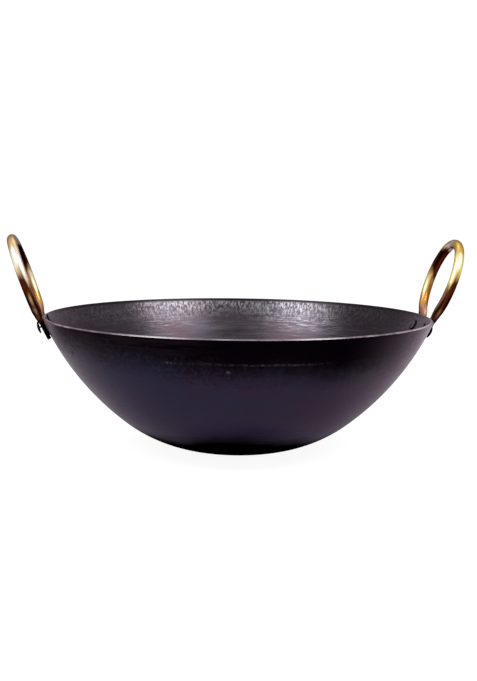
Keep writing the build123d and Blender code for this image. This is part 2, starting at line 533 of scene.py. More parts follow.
@dataclass(frozen=True, kw_only=True)
class InsideFinish(Finish):
    """Bare turned iron with a brown-violet cast, bright chatter flecks under the rim, painted highlights and
    painted dark reflections.
    """

    name: str = "iron_inside"
    roughness: float = 0.30
    edge_tint: Colour = rgb(0.74, 0.66, 0.72)
    bump: float = 0.5
    metal: float = 0.95
    iron: Colour = rgb(0.0395, 0.0335, 0.042)
    brown: Colour = rgb(0.0385, 0.027, 0.033)
    bright: Colour = rgb(0.19, 0.18, 0.195)
    dark: Colour = rgb(0.012, 0.010, 0.012)
    cloud: Pattern = Pattern(28.0)
    grain: Pattern = Pattern(900.0, 5.0, 0.65)
    rings: Pattern = Pattern(300.0, rough=0.6)
    lines: Pattern = Pattern(1100.0, 5.0, 0.65)
    chatter: Pattern = Pattern(620.0, 4.0, 0.6)
    chatter_squash: float = 0.20
    chatter_up: Rise = Rise(81 * MM, 97 * MM)
    brown_cloud: Rise = Rise(0.35, 0.7)
    dark_lines: Rise = Rise(0.52, 0.34, 0.35)
    dark_rings: Rise = Rise(0.48, 0.30, 0.30)
    # Painted highlights where the lamps' reflections fall on the back wall: they thicken the flecks and the
    # glints.
    highlight_left: Bump = Bump(-48 * MM, 38 * MM, 0.5)
    highlight_right: Bump = Bump(72 * MM, 60 * MM)
    highlight_back: Rise = Rise(60 * MM, 110 * MM)
    dense_cloud: Rise = Rise(0.30, 0.60, 0.25)
    dense_highlight: float = 0.42
    dense_least: float = 0.16
    dense_up: Rise = Rise(91 * MM, 97 * MM)
    dense_across: Bump = Bump(26 * MM, 96 * MM, 0.62)
    fleck_chatter: Rise = Rise(0.40, 0.66)
    fleck_grain: Rise = Rise(0.58, 0.74, 0.22)
    fleck_rings: Rise = Rise(0.52, 0.70, 0.12)
    glint_lines: Rise = Rise(0.50, 0.66)
    glint_back: Rise = Rise(40 * MM, 90 * MM)
    glint_down: Rise = Rise(96 * MM, 84 * MM)
    glint_up: Rise = Rise(72 * MM, 83 * MM)
    glint_highlight: float = 0.82
    glint_least: float = 0.03
    # Painted dark reflection: toward the right and back, on the left, and lower on the wall.
    painted_dark_azimuth: float = math.radians(30.0)
    painted_dark_right: Rise = Rise(124 * MM, 142 * MM, 0.7)
    painted_dark_left: Rise = Rise(-70 * MM, -125 * MM, 0.42)
    painted_dark_patch: Bump = Bump(-92 * MM, 45 * MM, 0.16)
    painted_dark_down: Rise = Rise(86 * MM, 70 * MM, 0.14)
    # Painted dark reflection just under the rim top.
    lip_swing: float = 2 * MM
    lip_up: Rise = Rise(99.5 * MM, 101.5 * MM)
    rough_swings: Shares = (0.2, 0.2)
    relief_shares: Shares = (0.4, 0.2, 0.4, 0.35)

    def paint(self, bench: Bench) -> tuple[Signal, Signal, Signal, Any]:
        """Paints the turned iron, its flecks, its painted highlights and its painted dark reflections.

        Args:
            bench: the material's nodes.

        Returns:
            Its colour, roughness, relief, and how metallic it is.
        """
        height, around, place = turned_coordinates(bench)
        x, y, _ = bench.parts(place)
        cloud, grain = bench.noises(place, self.cloud, self.grain)
        rings, lines = bench.noises(around, self.rings, self.lines)
        chatter, = bench.noises(bench.vector(x, y, height * self.chatter_squash), self.chatter)
        near_rim = self.chatter_up.of(height)
        # Painted highlights where the lamps' reflections fall on the back wall: this share thickens the
        # flecks and the glints.
        worn = (self.highlight_left.of(x) + self.highlight_right.of(x)) * self.highlight_back.of(y)
        dense = self.dense_cloud.of(cloud) + worn * self.dense_highlight + self.dense_least
        dense = dense + self.dense_up.of(height) * self.dense_across.of(x)
        # Glints: painted highlight lines.
        glint = self.glint_lines.of(lines) * self.glint_back.of(y) * self.glint_down.of(height)
        glint = glint * self.glint_up.of(height) * (worn * self.glint_highlight + self.glint_least)
        flecks = self.fleck_chatter.of(chatter) * near_rim * dense
        flecks = flecks + self.fleck_grain.of(grain) + self.fleck_rings.of(rings) + glint
        # Painted dark reflection at the sides and lower on the wall.
        toward = x * math.cos(self.painted_dark_azimuth) + y * math.sin(self.painted_dark_azimuth)
        painted_dark = self.painted_dark_right.of(toward) + self.painted_dark_left.of(x)
        painted_dark = painted_dark + self.painted_dark_patch.of(x) + self.painted_dark_down.of(height)
        body = bench.coats(self.iron,
                           (self.brown_cloud.of(cloud), self.brown),
                           (self.dark_lines.of(lines), self.dark),
                           (self.dark_rings.of(rings), self.dark),
                           # Bright flecks: the iron's own flecks, thickened into painted highlights where the
                           # lamps reflect.
                           (flecks.at_most(1.0), self.bright),
                           # Painted dark reflection at the sides and lower down, then just under the rim top.
                           (painted_dark.at_most(1.0), self.dark),
                           (self.lip_up.of(height + chatter.swing(self.lip_swing)), self.dark))
        rough = swung(self.roughness, self.rough_swings, grain, lines)
        return body, rough, weighed(self.relief_shares, lines, rings, chatter * near_rim, grain), self.metal


@dataclass(frozen=True, kw_only=True)
class EdgeFinish(Finish):
    """The cut edge of the sheet, worn bare in places, with painted highlights on its front and a pink-grey
    cast.
    """

    name: str = "iron_edge"
    roughness: float = 0.42
    edge_tint: Colour = rgb(0.80, 0.74, 0.78)
    bump: float = 0.4
    bare: Colour = rgb(0.34, 0.27, 0.30)
    dull: Colour = rgb(0.13, 0.10, 0.12)
    rubbed: Colour = rgb(0.46, 0.42, 0.44)
    wear: Pattern = Pattern(60.0, 4.0)
    wear_shown: Rise = Rise(0.40, 0.62)
    nicks: Pattern = Pattern(700.0)
    nick_swing: float = 0.3
    front: Rise = Rise(0.0, -45 * MM)
    dull_middle: Bump = Bump(0.0, 90 * MM, 0.6)
    # Painted highlights (glints) on the front of the edge.
    glint_places: tuple[Bump, ...] = (Bump(-70 * MM, 31 * MM), Bump(36 * MM, 27 * MM),
                                       Bump(130 * MM, 26 * MM))

    def paint(self, bench: Bench) -> tuple[Signal, Signal, Signal, Any]:
        """Paints the edge, dull in the middle of the front, with painted highlights beside it.

        Args:
            bench: the material's nodes.

        Returns:
            Its colour, roughness, relief, and how metallic it is.
        """
        place = bench.place()
        x, y, _ = bench.parts(place)
        wear, nicks = bench.noises(place, self.wear, self.nicks)
        front = self.front.of(y)
        # Painted highlights (glints) on the front of the edge, in the rubbed colour.
        rubbed = [(front * spot.of(x), self.rubbed) for spot in self.glint_places]
        body = bench.coats(self.dull, (self.wear_shown.of(wear), self.bare),
                           (front * self.dull_middle.of(x), self.dull), *rubbed)
        return body, self.roughness + nicks.swing(self.nick_swing), nicks, self.metal


@dataclass(frozen=True, kw_only=True)
class BrassFinish(Finish):
    """Drawn brass bar: painted highlights and painted dark reflections along the ring, black where it was
    forged.

    Its places run along the bar from the crown, and round it: outer is 1 on the outside of the
    ring and -1 inside it, and proud is 1 on the face that looks away from the bowl.
    """

    roughness: float = 0.30
    edge_tint: Colour = rgb(0.12, 0.12, 0.12)
    bump: float = 0.03
    gold: Colour
    pale: Colour
    foot: Colour
    worn_low: float
    blush: float
    warmth: float
    # Painted dark streak on the lower outside of the ring.
    painted_dark_streak_face: Rise
    rose: Colour = rgb(0.70, 0.55, 0.48)
    tan: Colour = rgb(0.40, 0.205, 0.050)
    amber: Colour = rgb(0.26, 0.075, 0.008)
    salmon: Colour = rgb(0.40, 0.20, 0.13)
    dull: Colour = rgb(0.22, 0.13, 0.09)
    thin: Colour = rgb(0.46, 0.25, 0.11)
    maroon: Colour = rgb(0.055, 0.0100, 0.0030)
    ruddy: Colour = rgb(0.17, 0.036, 0.006)
    black: Colour = rgb(0.004, 0.002, 0.002)
    streaks: Pattern = Pattern(420.0)
    streak_squash: float = 0.16
    streaks_shown: Rise = Rise(0.48, 0.75, 0.16)
    patches: Pattern = Pattern(70.0)
    patches_shown: Rise = Rise(0.50, 0.70, 0.15)
    reach_swings: Shares = (13 * MM, 6 * MM)
    rough_swings: Shares = (0.08, 0.10)
    soft: float = 4.5 * MM
    outside: Rise = Rise(-0.25, 0.20)
    crown_end: float = 14 * MM
    crown_slant: float = 8 * MM
    # Painted highlight outside the upper ring.
    outer_highlight_start: float = 23 * MM
    outer_highlight_end: float = 39 * MM
    outer_highlight_slant: Rise = Rise(0.0, -0.6, 13 * MM)
    blush_face: Rise = Rise(0.15, -0.45)
    upper_start: float = 12 * MM
    upper_curve: float = 5 * MM
    upper_end: float = 47 * MM
    upper_slant: float = 8 * MM
    lower_start: float = 43.5 * MM
    lower_slant: Rise = Rise(0.0, -0.9, 13 * MM)
    # Painted highlight inside the lower ring.
    shine_start: float = 45 * MM
    shine_end: float = 62 * MM
    shine_face: Rise = Rise(0.1, -0.4, 0.6)
    warm_face: Rise = Rise(-0.35, 0.15)
    ruddy_start: float = 54 * MM
    ruddy_face: Rise = Rise(-0.05, -0.45)
    dull_face: Rise = Rise(-0.55, -0.85)
    worn_along: Bump = Bump(62 * MM, 7 * MM)
    worn_face: Bump = Bump(0.10, 0.60)
    black_start: float = 56 * MM
    foot_start: float = 71 * MM
    foot_slant: float = 5 * MM
    foot_matt: float = 0.30
    scale_down: Rise = Rise(104.0 * MM, 99.5 * MM)
    scale_swing: float = 5 * MM
    scale_rough: float = 0.2
    scale_dull: float = 0.8

    def paint(self, bench: Bench) -> tuple[Signal, Signal, Signal, Any]:
        """Paints the brass, its painted highlights, dark reflections and dark streaks, and the scale on its
        lugs.

        Args:
            bench: the material's nodes.

        Returns:
            Its colour, roughness, relief, and how metallic it is.
        """
        along = bench.attribute(STRAIGHT_BAR, "Vector")
        wide, thick, run = bench.parts(along)
        flat = bench.vector(wide, thick, 0.0)
        round_bar = bench.add("ShaderNodeVectorMath", {"operation": "NORMALIZE"}, {0: flat})
        outer, proud, _ = bench.parts(round_bar)
        _, _, height = bench.parts(bench.place())
        streaks, = bench.noises(bench.vector(wide, thick, run * self.streak_squash), self.streaks)
        patches, = bench.noises(along, self.patches)
        reach = swung(run, self.reach_swings, streaks, patches)
        outside = self.outside.of(outer)
        # Painted dark reflection on the lower outside, on the face toward the bowl, and a painted dark streak
        # beside it.
        to_bowl = self._rise(reach, self.ruddy_start) * outside * self.ruddy_face.of(proud)
        worn = outside * self.worn_along.of(reach) * self.worn_face.of(proud) * self.worn_low
        painted_dark_streak = self._rise(reach, self.black_start) * outside * self.painted_dark_streak_face.of(proud)
        scale = self.scale_down.of(height + patches.swing(self.scale_swing))
        body = bench.coats(self._metal(bench, reach, proud, outside),
                           (self.patches_shown.of(patches), self.rose),
                           # Painted dark reflections, then a painted dark streak.
                           (self._dark_reflection(reach, proud, outside), self.maroon),
                           (to_bowl, self.ruddy),
                           (to_bowl * self.dull_face.of(proud), self.dull),
                           (worn, self.thin),
                           (painted_dark_streak, self.black),
                           (self.streaks_shown.of(streaks), self.amber),
                           (scale, self.black))
        matt = self._rise(reach, self.foot_start) * (1.0 - outside) * self.foot_matt
        rough = swung(self.roughness, self.rough_swings, streaks, patches) + scale * self.scale_rough + matt
        return body, rough, streaks, self.metal - scale * self.scale_dull

    def _rise(self, reach: Signal, start: float) -> Signal:
        """Share that rises softly along the bar about a distance from the crown."""
        return Rise(start - self.soft, start + self.soft).of(reach)

    def _fall(self, reach: Signal, end: float) -> Signal:
        """Share that falls softly along the bar about a distance from the crown."""
        return Rise(end + self.soft, end - self.soft).of(reach)

    def _metal(self, bench: Bench, reach: Signal, proud: Signal, outside: Signal) -> Signal:
        """The bare metal: rose at the crown, pale painted highlights outside the upper ring and inside the
        lower, amber and tan inside the ring.

        Args:
            bench: the material's nodes.
            reach: distance along the bar from the crown.
            proud: how far the place looks away from the bowl.
            outside: share on the outside of the ring.

        Returns:
            The colour.
        """
        inside = 1.0 - outside
        late = reach - self.outer_highlight_slant.of(proud)
        # Painted highlight on the outside of the upper ring.
        outer_highlight = self._rise(reach, self.outer_highlight_start) * self._fall(late, self.outer_highlight_end) * outside
        beyond = inside * self._rise(reach - proud * self.upper_slant, self.upper_end)
        # Painted highlight inside the lower ring.
        shine = self.shine_face.of(proud) * self._rise(reach, self.shine_start)
        shine = shine * self._fall(reach, self.shine_end) * inside
        warm = beyond * self._fall(reach, self.foot_start) * self.warm_face.of(proud) * self.warmth
        foot = bench.coats(self.salmon, (outside, self.foot))
        return bench.coats(self.gold,
                           (outer_highlight, self.pale),
                           (outer_highlight * self.blush_face.of(proud) * self.blush, self.rose),
                           (beyond, self.tan),
                           (shine, self.pale),
                           (warm, self.amber),
                           (self._fall(reach + outside * self.crown_slant, self.crown_end), self.rose),
                           (self._rise(reach - inside * self.foot_slant, self.foot_start), foot))

    def _dark_reflection(self, reach: Signal, proud: Signal, outside: Signal) -> Signal:
        """Painted dark reflection: inside the upper half of the ring, outside the lower half.

        Args:
            reach: distance along the bar from the crown.
            proud: how far the place looks away from the bowl.
            outside: share on the outside of the ring.

        Returns:
            A share from 0 to 1.
        """
        upper = (1.0 - outside) * self._rise(reach - proud * proud * self.upper_curve, self.upper_start)
        upper = upper * self._fall(reach - proud * self.upper_slant, self.upper_end)
        late = reach - self.lower_slant.of(proud)
        lower = outside * self._rise(late, self.lower_start) * self._fall(reach, self.foot_start)
        return (upper + lower).at_most(1.0)


@dataclass(frozen=True, kw_only=True)
class RivetFinish(Finish):
    """A hammered iron head: its high places rubbed, its edge darkened with painted shade."""

    roughness: float = 0.36
    edge_tint: Colour = rgb(0.60, 0.54, 0.59)
    bump: float = 0.4
    metal: float = 0.95
    iron: Colour
    rubbed: Colour
    # Painted shade at the head's edge.
    rim_shade: Colour = rgb(0.003, 0.002, 0.003)
    rim_shade_out: Rise = Rise(0.70, 1.0)
    dents: Pattern = Pattern(380.0)
    dents_shown: Rise = Rise(0.52, 0.72)
    grain: Pattern = Pattern(1600.0)
    rough_swings: Shares = (0.2,)
    relief_shares: Shares = (0.7, 0.3)

    def paint(self, bench: Bench) -> tuple[Signal, Signal, Signal, Any]:
        """Paints the head by its dents, and with painted shade by how far out on it a place is.

        Args:
            bench: the material's nodes.

        Returns:
            Its colour, roughness, relief, and how metallic it is.
        """
        spread = bench.attribute(HEAD_SPREAD, "Fac")
        dents, grain = bench.noises(bench.place(), self.dents, self.grain)
        body = bench.coats(self.iron, (self.dents_shown.of(dents), self.rubbed),
                           (self.rim_shade_out.of(spread), self.rim_shade))
        rough = swung(self.roughness, self.rough_swings, grain)
        return body, rough, weighed(self.relief_shares, dents, grain), self.metal


def grey(tone: float) -> Colour:
    """A grey of this brightness."""
    return rgb(tone, tone, tone)


def link_new(name: str, data: Any) -> bpy.types.Object:
    """Puts new data into the scene.

    Args:
        name: the object's name.
        data: its mesh, light or camera.

    Returns:
        The object, at the origin.
    """
    made = bpy.data.objects.new(name, data)
    bpy.context.scene.collection.objects.link(made)
    return made


def link_mesh(name: str, mesh: Mesh) -> bpy.types.Object:
    """Puts a bmesh into the scene, and frees it.

    Args:
        name: the name of the object and of its mesh.
        mesh: the finished bmesh.

    Returns:
        The object, at the origin.
    """
    data = bpy.data.meshes.new(name)
    mesh.to_mesh(data)
    mesh.free()
    return link_new(name, data)


def finish_piece(mesh: Mesh, name: str, slot: Slot, node: str,
                 materials: list[bpy.types.Material]) -> bpy.types.Object:
    """Turns a bmesh into a piece that stands for its CAD node.

    Args:
        mesh: the finished bmesh, which is freed.
        name: the piece's name.
        slot: the record's slot; not used.
        node: the CAD node that it stands for.
        materials: its materials, in the order of their indices.

    Returns:
        The new object.
    """
    piece = link_mesh(name, mesh)
    for polygon in piece.data.polygons:
        polygon.use_smooth = True
    for material in materials:
        piece.data.materials.append(material)
    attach(piece, ROOT_BODY)
    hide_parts(node)
    LOG.info("%s: %d faces, stands for %s", name, len(piece.data.polygons), node)
    return piece


def level(place: Vector) -> Vector:
    """The part of a vector that lies level."""
    return Vector((place.x, place.y, 0))


def uneven(place: Vector) -> float:
    """Noise from 0 to 1 at a place."""
    return noise.noise(place) * 0.5 + 0.5


def part_way(first: float, last: float, share: float) -> float:
    """The number that lies a share of the way from first to last."""
    return first + (last - first) * share


def spin_full(mesh: Mesh, steps: int) -> None:
    """Spins a line once round the Z axis, with its normals outward.

    Args:
        mesh: holds the line alone, in the XZ plane.
        steps: how many steps go round.
    """
    bmesh.ops.spin(mesh, geom=mesh.verts[:] + mesh.edges[:], axis=UP, cent=ORIGIN, dvec=ORIGIN,
                   angle=math.tau, steps=steps, use_merge=True)
    bmesh.ops.remove_doubles(mesh, verts=mesh.verts, dist=MERGE_GAP)
    bmesh.ops.recalc_face_normals(mesh, faces=mesh.faces)


@dataclass(frozen=True)
class Arc:
    """A circular arc in the profile plane, x out from the axis and y up."""

    centre: Vector
    radius: float

    def at(self, angle: float, grow: float = 0.0) -> Vector:
        """The point at an angle in radians from the x direction, moved out by grow."""
        return self.centre + Vector((math.cos(angle), math.sin(angle))) * (self.radius + grow)

    def angle_of(self, point: Vector) -> float:
        """The angle of a point as seen from the centre, in radians."""
        return math.atan2(point.y - self.centre.y, point.x - self.centre.x)


def arc_from(start: Vector, tangent: Vector, end: Vector) -> Arc:
    """The arc that leaves a point along a tangent and passes through another point.

    Args:
        start: first point.
        tangent: direction there.
        end: second point.

    Returns:
        The arc.
    """
    chord = end - start
    normal = Vector((-tangent.y, tangent.x)).normalized()
    reach = chord.length_squared / (2 * chord.dot(normal))
    return Arc(start + normal * reach, abs(reach))


@dataclass(frozen=True)
class SheetProfile:
    """Outer line of the bowl's sheet: wall arc, belly arc, knuckle and flat."""

    rim_radius: float = 150.0 * MM
    rim_height: float = 101.8 * MM
    belly_radius: float = 87.0 * MM
    belly_height: float = 22.2 * MM
    belly_lean: float = math.radians(52.6)
    flat_radius: float = 31.0 * MM
    knuckle_radius: float = 20.0 * MM
    sheet: float = 2.3 * MM

    @property
    def belly_point(self) -> Vector:
        """Where the wall arc runs into the belly arc."""
        return Vector((self.belly_radius, self.belly_height))

    @property
    def rim_point(self) -> Vector:
        """Outer corner of the rim."""
        return Vector((self.rim_radius, self.rim_height))

    @property
    def belly_tangent(self) -> Vector:
        """Direction up the wall at the belly point."""
        return Vector((math.sin(self.belly_lean), math.cos(self.belly_lean)))

    @property
    def wall(self) -> Arc:
        """The wall arc."""
        return arc_from(self.belly_point, self.belly_tangent, self.rim_point)

    @property
    def belly(self) -> Arc:
        """The belly arc."""
        return arc_from(self.belly_point, -self.belly_tangent, Vector((self.flat_radius, 0)))

    @property
    def knuckle(self) -> Arc:
        """The soft bend between the resting face and the belly.

        Returns:
            Its arc, which touches both.
        """
        belly = self.belly
        gap = belly.radius - self.knuckle_radius
        drop = belly.centre.y - self.knuckle_radius
        centre = Vector((belly.centre.x + math.sqrt(gap**2 - drop**2), self.knuckle_radius))
        return Arc(centre, self.knuckle_radius)

    def on_wall(self, drop: float, stand_off: float) -> tuple[Vector, Vector]:
        """A place on the wall.

        Args:
            drop: distance down the wall from the rim.
            stand_off: distance out from the outer face.

        Returns:
            The point in the profile plane, and the outward normal there.
        """
        wall = self.wall
        angle = wall.angle_of(self.rim_point) - drop / wall.radius
        normal = Vector((math.cos(angle), math.sin(angle)))
        return wall.at(angle, stand_off), normal

    def wall_radius(self, height: float) -> float:
        """Radius of the outer wall face at a height."""
        wall = self.wall
        return wall.centre.x + math.sqrt(wall.radius**2 - (height - wall.centre.y) ** 2)


@dataclass(frozen=True)
class LugSeat:
    """How a handle's two lugs lie on the wall."""

    half_spacing: float = 14.5 * MM
    thickness: float = 3.0 * MM
    clearance: float = 0.15 * MM

    def azimuth(self, profile: SheetProfile) -> float:
        """Azimuth of the lug on the +Y side of a right handle."""
        return math.asin(self.half_spacing / profile.rim_radius)


@dataclass(frozen=True)
class WallPlace:
    """A place on the wall at an azimuth, with its own directions."""

    origin: Vector
    around: Vector
    up: Vector
    out: Vector


def wall_place(profile: SheetProfile, azimuth: float, drop: float, stand_off: float) -> WallPlace:
    """The place on the outer wall at an azimuth and a drop from the rim.

    Args:
        profile: the bowl's profile.
        azimuth: angle round the axis from +X, in radians.
        drop: distance down the wall from the rim.
        stand_off: distance out from the outer face.

    Returns:
        The place, with its directions along the rim, up the wall and outward.
    """
    point, normal = profile.on_wall(drop, stand_off)
    radial = Vector((math.cos(azimuth), math.sin(azimuth), 0))
    around = Vector((-math.sin(azimuth), math.cos(azimuth), 0))
    out = radial * normal.x + UP * normal.y
    up = radial * -normal.y + UP * normal.x
    return WallPlace(radial * point.x + UP * point.y, around, up, out)


@dataclass
class Bowl:
    """The bowl, spun from one sheet and cut square at the rim."""

    profile: SheetProfile = SheetProfile()
    steps_round: int = 288
    steps_wall: int = 30
    steps_belly: int = 18
    steps_knuckle: int = 3
    steps_flat: int = 4
    corner: float = 0.5 * MM
    corner_segments: int = 3
    edge_facing: float = 0.9
    wave: float = 0.35 * MM
    wave_scale: float = 9.0

    def build(self) -> Mesh:
        """Spins the outer line, gives it the sheet's thickness and rounds the cut edge.

        Returns:
            The closed bowl.
        """
        mesh = bmesh.new()
        self._draw_line(mesh)
        spin_full(mesh, self.steps_round)
        self._face_outwards(mesh)
        self._beat(mesh)
        bmesh.ops.solidify(mesh, geom=mesh.faces[:], thickness=self.profile.sheet)
        self._sort_faces(mesh)
        return mesh

    def _draw_line(self, mesh: Mesh) -> None:
        """Draws the outer line from the middle of the flat to the rim.

        Args:
            mesh: an empty mesh.
        """
        profile = self.profile
        tip = mesh.verts.new((0, 0, 0))
        step = profile.knuckle.centre.x / self.steps_flat
        for _ in range(self.steps_flat):
            tip = bmesh.ops.extrude_vert_indiv(mesh, verts=[tip])["verts"][0]
            bmesh.ops.translate(mesh, vec=(step, 0, 0), verts=[tip])
        wall, belly, knuckle = profile.wall, profile.belly, profile.knuckle
        lean = belly.angle_of(knuckle.centre)
        joint = profile.belly_point
        turns = ((knuckle, lean + math.pi / 2, self.steps_knuckle),
                 (belly, belly.angle_of(joint) - lean, self.steps_belly),
                 (wall, wall.angle_of(profile.rim_point) - wall.angle_of(joint), self.steps_wall))
        for arc, turn, steps in turns:
            grown = bmesh.ops.spin(mesh, geom=[tip], axis=(0, -1, 0), cent=(arc.centre.x, 0, arc.centre.y),
                                   dvec=ORIGIN, angle=turn, steps=steps)
            tip = next(item for item in grown["geom_last"] if isinstance(item, bmesh.types.BMVert))

    def _face_outwards(self, mesh: Mesh) -> None:
        """Turns the open skin so that its faces point away from the food.

        Args:
            mesh: the open skin.
        """
        mesh.faces.ensure_lookup_table()
        lowest = min(mesh.faces, key=lambda face: face.calc_center_median().z)
        if lowest.normal.z > 0:
            bmesh.ops.reverse_faces(mesh, faces=mesh.faces)

    def _beat(self, mesh: Mesh) -> None:
        """Lets the sheet wander inwards by a fraction of its thickness, most at the rim.

        Args:
            mesh: the open skin.
        """
        for vertex in mesh.verts:
            share = max(0.0, vertex.co.z / self.profile.rim_height) ** 2
            sway = uneven(vertex.co * self.wave_scale)
            flat = level(vertex.co)
            if flat.length > self.profile.flat_radius:
                vertex.co -= flat.normalized() * (sway * share * self.wave)

    def _sort_faces(self, mesh: Mesh) -> None:
        """Sorts the faces into outside, inside and edge, and rounds the edge's corners.

        Args:
            mesh: the closed bowl.
        """
        mesh.normal_update()
        for face in mesh.faces:
            centre = face.calc_center_median()
            flat = level(centre)
            radial = flat.normalized() if flat.length > self.corner else ORIGIN
            outward = radial * max(0.0, centre.z) - UP * self.profile.rim_height
            facing = face.normal.dot(outward.normalized())
            face.material_index = Region.OUTSIDE.value if facing > 0 else Region.INSIDE.value
        rim_faces = [face for face in mesh.faces if self._is_cut_edge(face)]
        for face in rim_faces:
            face.material_index = Region.EDGE.value
        cut = set(rim_faces)
        borders = [edge for face in rim_faces for edge in face.edges if not cut.issuperset(edge.link_faces)]
        bmesh.ops.bevel(mesh, geom=list(dict.fromkeys(borders)), offset=self.corner, offset_type="OFFSET",
                        affect="EDGES", segments=self.corner_segments, profile=0.5, material=-1,
                        clamp_overlap=True)

    def _is_cut_edge(self, face: bmesh.types.BMFace) -> bool:
        """Tells the faces of the cut edge, which look up along the wall.

        Args:
            face: a face of the bowl.

        Returns:
            Whether it is one of them.
        """
        centre = face.calc_center_median()
        if centre.z < self.profile.rim_height - self.profile.sheet:
            return False
        _, normal = self.profile.on_wall(0, 0)
        along = level(centre).normalized() * -normal.y + UP * normal.x
        return face.normal.dot(along) > self.edge_facing

    def dress(self) -> bpy.types.Object:
        """Makes the piece with its three finishes."""
        materials = [finish.make() for finish in (OutsideFinish(), InsideFinish(), EdgeFinish())]
        return finish_piece(self.build(), "bowl_shell", Slot.IRON, "bowl", materials)


@dataclass(frozen=True)
class BarStation:
    """One section of the bar: its place, directions and half sizes, and how square it is."""

    origin: Vector
    across: Vector
    off: Vector
    half_width: float
    half_thickness: float
    power: float
    distance: float


@dataclass
class RingHandle:
    """A ring bent from round bar, whose two ends flatten into lugs on the wall."""

    side: Side
    ring_height: float
    profile: SheetProfile = SheetProfile()
    bar_radius: float = 3.64 * MM
    half_width: float = 30.8 * MM
    widest_height: float = 28.9 * MM
    lean: float = math.radians(20.0)
    stand_out: float = 0.5 * MM
    lug: LugSeat = LugSeat()
    lug_half_width: float = 6.0 * MM
    lug_length: float = 16.0 * MM
    lug_corner: float = 5.2 * MM
    neck_half_spacing: float = 23.6 * MM
    neck_height: float = 8.5 * MM
    neck_depth: float = 3.2 * MM
    edge_round: float = 0.5 * MM
    mirror_gap: float = 0.01 * MM
    seam_gap: float = 0.005 * MM
    sides: int = 32
    round_power: float = 2.0
    flat_power: float = 6.0
    steps_crown: int = 36
    steps_side: int = 16
    steps_neck: int = 16
    steps_lug: int = 9
    steps_tip: int = 8

    def _ring_point(self, across: float, up: float) -> Vector:
        """A point of the ring's plane.

        Args:
            across: distance along the rim from the handle's middle.
            up: distance up the ring's lean from the rim.

        Returns:
            The point, on a right handle.
        """
        origin = Vector((self.profile.rim_radius + self.stand_out, 0, self.profile.rim_height))
        rise = Vector((math.sin(self.lean), 0, math.cos(self.lean)))
        return origin + Vector((0, across, 0)) + rise * up

    def _ring_way(self, across: float, up: float) -> Vector:
        """A direction in the ring's plane."""
        return self._ring_point(across, up) - self._ring_point(0, 0)

    def _round(self, place: Vector, across: Vector, distance: float) -> BarStation:
        """A round section of the bar in the ring's plane."""
        off = Vector((math.cos(self.lean), 0, -math.sin(self.lean)))
        return BarStation(place, across, off, self.bar_radius, self.bar_radius, self.round_power, distance)

    def _on_wall(self, drop: float) -> WallPlace:
        """The middle of the lug's thickness at a distance down the wall."""
        off_wall = self.lug.clearance + self.lug.thickness / 2
        return wall_place(self.profile, self.lug.azimuth(self.profile), drop, off_wall)

    def _arc_stations(self, arc: Arc, first: float, last: float, steps: int, run: float) -> list[BarStation]:
        """Round sections along an arc of the ring.

        Args:
            arc: the arc in the ring's plane.
            first: its first angle.
            last: its last angle.
            steps: how many steps.
            run: distance from the crown to its start.

        Returns:
            The sections after the first one.
        """
        centre = self._ring_point(*arc.centre)
        found = []
        for step in range(1, steps + 1):
            angle = first + (last - first) * step / steps
            place = self._ring_point(*arc.at(angle))
            distance = run + abs(angle - first) * arc.radius
            found.append(self._round(place, (place - centre).normalized(), distance))
        return found

    def stations(self) -> list[BarStation]:
        """Sections from the crown down one side to the tip of the lug.

        Returns:
            The sections, the crown's first.
        """
        crown_point = Vector((0, self.ring_height))
        widest = Vector((self.half_width, self.widest_height))
        neck_point = Vector((self.neck_half_spacing, self.neck_height))
        crown = arc_from(crown_point, Vector((1, 0)), widest)
        crown_end = crown.angle_of(widest)
        side = arc_from(widest, Vector((math.sin(crown_end), -math.cos(crown_end))), neck_point)
        first, last = side.angle_of(widest), side.angle_of(neck_point)
        found = [self._round(self._ring_point(0, self.ring_height), self._ring_way(0, 1), 0.0)]
        found += self._arc_stations(crown, math.pi / 2, crown_end, self.steps_crown, 0.0)
        found += self._arc_stations(side, first, last, self.steps_side, found[-1].distance)
        found += self._neck(found[-1], self._ring_way(math.sin(last), -math.cos(last)).normalized())
        found += self._lug(found[-1].distance)
        return found

    def _neck(self, start: BarStation, heading: Vector) -> list[BarStation]:
        """Sections of the neck, where the round bar flattens.

        Args:
            start: the last round section.
            heading: direction of the bar there.

        Returns:
            The sections after it, down to the flat one.
        """
        seat = self._on_wall(self.neck_depth)
        reach = (seat.origin - start.origin).length
        last, distance = start.origin, start.distance
        found = []
        for step in range(1, self.steps_neck + 1):
            share = step / self.steps_neck
            blend = share**2 * (3 - 2 * share)
            place, tangent = hermite(start.origin, heading * reach, seat.origin, -seat.up * reach, share)
            across = start.across * (1 - blend) + seat.around * blend
            across = (across - tangent * across.dot(tangent)).normalized()
            off = across.cross(tangent)
            if off.dot(seat.out) < 0:
                off = -off
            distance += (place - last).length
            last = place
            half_width = part_way(self.bar_radius, self.lug_half_width, blend)
            half_thickness = part_way(self.bar_radius, self.lug.thickness / 2, blend)
            power = part_way(self.round_power, self.flat_power, blend**2)
            found.append(BarStation(place, across, off, half_width, half_thickness, power, distance))
        return found

    def _lug(self, run: float) -> list[BarStation]:
        """Sections of the lug, down the wall to its round tip.

        Args:
            run: distance from the crown to the end of the neck.

        Returns:
            The sections after the end of the neck.
        """
        flat_end = self.lug_length - self.lug_corner
        drops = [(self.neck_depth + (flat_end - self.neck_depth) * step / self.steps_lug, self.lug_half_width)
                 for step in range(1, self.steps_lug + 1)]
        narrow = self.lug_half_width - self.lug_corner
        for step in range(1, self.steps_tip + 1):
            angle = math.pi / 2 * step / self.steps_tip
            drops.append((flat_end + self.lug_corner * math.sin(angle),
                          narrow + self.lug_corner * math.cos(angle)))
        found = []
        for drop, half_width in drops:
            place = self._on_wall(drop)
            found.append(BarStation(place.origin, place.around, place.out, half_width, self.lug.thickness / 2,
                                    self.flat_power, run + drop - self.neck_depth))
        return found

